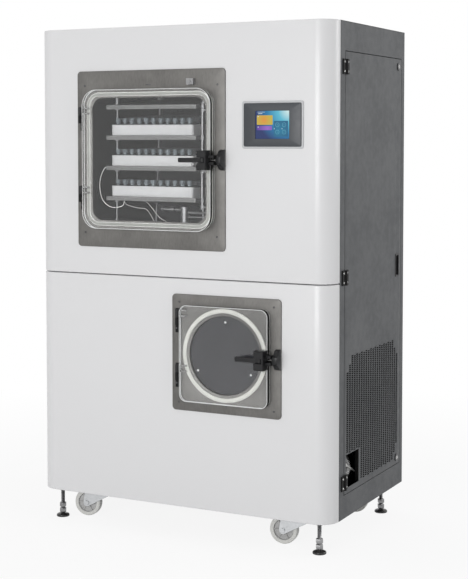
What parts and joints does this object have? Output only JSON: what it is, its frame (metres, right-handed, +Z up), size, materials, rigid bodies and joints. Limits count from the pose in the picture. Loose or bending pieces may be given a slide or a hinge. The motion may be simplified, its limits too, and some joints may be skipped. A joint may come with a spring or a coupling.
{
  "type": "freeze dryer",
  "caption": "Floor-standing laboratory freeze dryer: clear-doored shelf chamber above a round condenser, touch panel, service door with grille, casters and levelling feet.",
  "frame": {"origin": "on the floor, under the middle of the whole machine with its latches", "axes": "+X to the right seen from the front, +Y to the back, +Z up"},
  "size_m": [1.11, 0.722, 1.695],
  "materials": {
    "white_cover": "smooth satin white lacquer",
    "grey_panel": "fine-textured dark grey powder coat",
    "frame_paint": "plain dark grey powder coat on welded tube",
    "brushed_steel": "brushed stainless steel",
    "bright_metal": "polished stainless steel",
    "zinc_plate": "bright zinc plating",
    "aluminium": "mill-finished aluminium",
    "shelf_aluminium": "fine-ground plate",
    "acrylic": "clear polished acrylic",
    "vial_glass": "clear moulded glass",
    "white_rubber": "white silicone seal",
    "white_tray": "white matt tray",
    "black_plastic": "black glass-filled nylon, light grain",
    "panel_plastic": "dark grey moulded bezel",
    "screen": "lit touch screen with plain tiles",
    "white_lead": "white insulated lead",
    "wheel_nylon": "off-white cast nylon",
    "black_foot": "black plastic pad on a blackened stem",
    "black_enamel": "black enamel",
    "pump_enamel": "grey-blue enamel"
  },
  "bodies": {
    "root": {"back_panel": "grey_panel", "baffle_plate": "brushed_steel", "cabinet_frame": "frame_paint", "caster_plates": "zinc_plate", "compressor": "black_enamel", "condenser_vessel": "brushed_steel", "cover_lower": "white_cover", "cover_upper": "white_cover", "door_gaskets": "white_rubber", "door_switch": "aluminium", "drain_valve": "bright_metal", "drying_chamber": "brushed_steel", "evaporator_sleeve": "brushed_steel", "fluid_manifold": "bright_metal", "foot_bosses": "frame_paint", "heat_exchanger": "aluminium", "hinge_brackets": "black_plastic", "isolation_valve": "aluminium", "latch_keepers": "black_plastic", "probe_leads": "white_lead", "pump_hose": "bright_metal", "shelf_posts": "bright_metal", "shelves": "shelf_aluminium", "side_hinge_plates": "black_plastic", "side_panel_left": "grey_panel", "side_panel_right": "grey_panel", "top_cover": "grey_panel", "touch_panel_bezel": "panel_plastic", "touch_panel_screen": "screen", "trays": "white_tray", "vacuum_pump": "pump_enamel", "vapour_duct": "brushed_steel", "vials": "vial_glass"},
    "chamber_door": {"chamber_door": "acrylic", "chamber_door_straps": "bright_metal", "chamber_latch_body": "black_plastic"},
    "chamber_lever": {"chamber_latch_lever": "black_plastic"},
    "condenser_door": {"condenser_door": "acrylic", "condenser_door_straps": "bright_metal", "condenser_latch_body": "black_plastic"},
    "condenser_lever": {"condenser_latch_lever": "black_plastic"},
    "service_door": {"service_door": "grey_panel", "vent_grille": "grey_panel", "side_hinge_leaves": "black_plastic", "door_pull": "black_plastic"},
    "upper_lock": {"upper_cam_lock": "bright_metal"},
    "lower_lock": {"lower_cam_lock": "bright_metal"},
    "fan": {"cooling_fan": "black_plastic"},
    "fork_front_left": {"caster_fork_front_left": "zinc_plate"},
    "wheel_front_left": {"caster_wheel_front_left": "wheel_nylon"},
    "fork_front_right": {"caster_fork_front_right": "zinc_plate"},
    "wheel_front_right": {"caster_wheel_front_right": "wheel_nylon"},
    "fork_rear_left": {"caster_fork_rear_left": "zinc_plate"},
    "wheel_rear_left": {"caster_wheel_rear_left": "wheel_nylon"},
    "fork_rear_right": {"caster_fork_rear_right": "zinc_plate"},
    "wheel_rear_right": {"caster_wheel_rear_right": "wheel_nylon"},
    "foot_front_left": {"levelling_foot_front_left": "black_foot"},
    "foot_front_right": {"levelling_foot_front_right": "black_foot"},
    "foot_rear_left": {"levelling_foot_rear_left": "black_foot"},
    "foot_rear_right": {"levelling_foot_rear_right": "black_foot"}
  },
  "joints": [
    {"name": "chamber_door_swing", "type": "hinge", "parent": "root", "child": "chamber_door", "pos_m": [-0.3565, -0.32, 1.255], "axis": [0, 0, -1], "range_deg": [0, 120]},
    {"name": "chamber_latch_pull", "type": "hinge", "parent": "chamber_door", "child": "chamber_lever", "pos_m": [0.1255, -0.347, 1.255], "axis": [0, 0, 1], "range_deg": [0, 70]},
    {"name": "condenser_door_swing", "type": "hinge", "parent": "root", "child": "condenser_door", "pos_m": [0.0105, -0.311, 0.622], "axis": [0, 0, -1], "range_deg": [0, 120]},
    {"name": "condenser_latch_pull", "type": "hinge", "parent": "condenser_door", "child": "condenser_lever", "pos_m": [0.3245, -0.338, 0.622], "axis": [0, 0, 1], "range_deg": [0, 70]},
    {"name": "service_door_swing", "type": "hinge", "parent": "root", "child": "service_door", "pos_m": [0.555, -0.1845, 0.89075], "axis": [0, 0, -1], "range_deg": [0, 120]},
    {"name": "upper_lock_turn", "type": "hinge", "parent": "service_door", "child": "upper_lock", "pos_m": [0.55, 0.298, 1.5735], "axis": [1, 0, 0], "range_deg": [0, 90]},
    {"name": "lower_lock_turn", "type": "hinge", "parent": "service_door", "child": "lower_lock", "pos_m": [0.55, 0.298, 0.205], "axis": [-1, 0, 0], "range_deg": [0, 90]},
    {"name": "caster_swivel_front_left", "type": "hinge", "parent": "root", "child": "fork_front_left", "pos_m": [-0.3785, -0.192, 0.05], "axis": [0, 0, 1], "continuous": true},
    {"name": "wheel_spin_front_left", "type": "hinge", "parent": "fork_front_left", "child": "wheel_front_left", "pos_m": [-0.41011, -0.19701, 0.05], "axis": [-0.1564, 0.9877, 0], "continuous": true},
    {"name": "caster_swivel_front_right", "type": "hinge", "parent": "root", "child": "fork_front_right", "pos_m": [0.3785, -0.192, 0.05], "axis": [0, 0, 1], "continuous": true},
    {"name": "wheel_spin_front_right", "type": "hinge", "parent": "fork_front_right", "child": "wheel_front_right", "pos_m": [0.34668, -0.19534, 0.05], "axis": [-0.1045, 0.9945, 0], "continuous": true},
    {"name": "caster_swivel_rear_left", "type": "hinge", "parent": "root", "child": "fork_rear_left", "pos_m": [-0.3785, 0.262, 0.05], "axis": [0, 0, 1], "continuous": true},
    {"name": "wheel_spin_rear_left", "type": "hinge", "parent": "fork_rear_left", "child": "wheel_rear_left", "pos_m": [-0.40621, 0.278, 0.05], "axis": [0.5, 0.866, 0], "continuous": true},
    {"name": "caster_swivel_rear_right", "type": "hinge", "parent": "root", "child": "fork_rear_right", "pos_m": [0.3785, 0.262, 0.05], "axis": [0, 0, 1], "continuous": true},
    {"name": "wheel_spin_rear_right", "type": "hinge", "parent": "fork_rear_right", "child": "wheel_rear_right", "pos_m": [0.41001, 0.26756, 0.05], "axis": [0.1736, -0.9848, 0], "continuous": true},
    {"name": "foot_screw_front_left", "type": "slide", "parent": "root", "child": "foot_front_left", "axis": [0, 0, 1], "range_m": [-0.03, 0]},
    {"name": "foot_screw_front_right", "type": "slide", "parent": "root", "child": "foot_front_right", "axis": [0, 0, 1], "range_m": [-0.03, 0]},
    {"name": "foot_screw_rear_left", "type": "slide", "parent": "root", "child": "foot_rear_left", "axis": [0, 0, 1], "range_m": [-0.03, 0]},
    {"name": "foot_screw_rear_right", "type": "slide", "parent": "root", "child": "foot_rear_right", "axis": [0, 0, 1], "range_m": [-0.03, 0]},
    {"name": "fan_spin", "type": "hinge", "parent": "root", "child": "fan", "pos_m": [0.433, 0.125, 0.495], "axis": [1, 0, 0], "continuous": true}
  ]
}
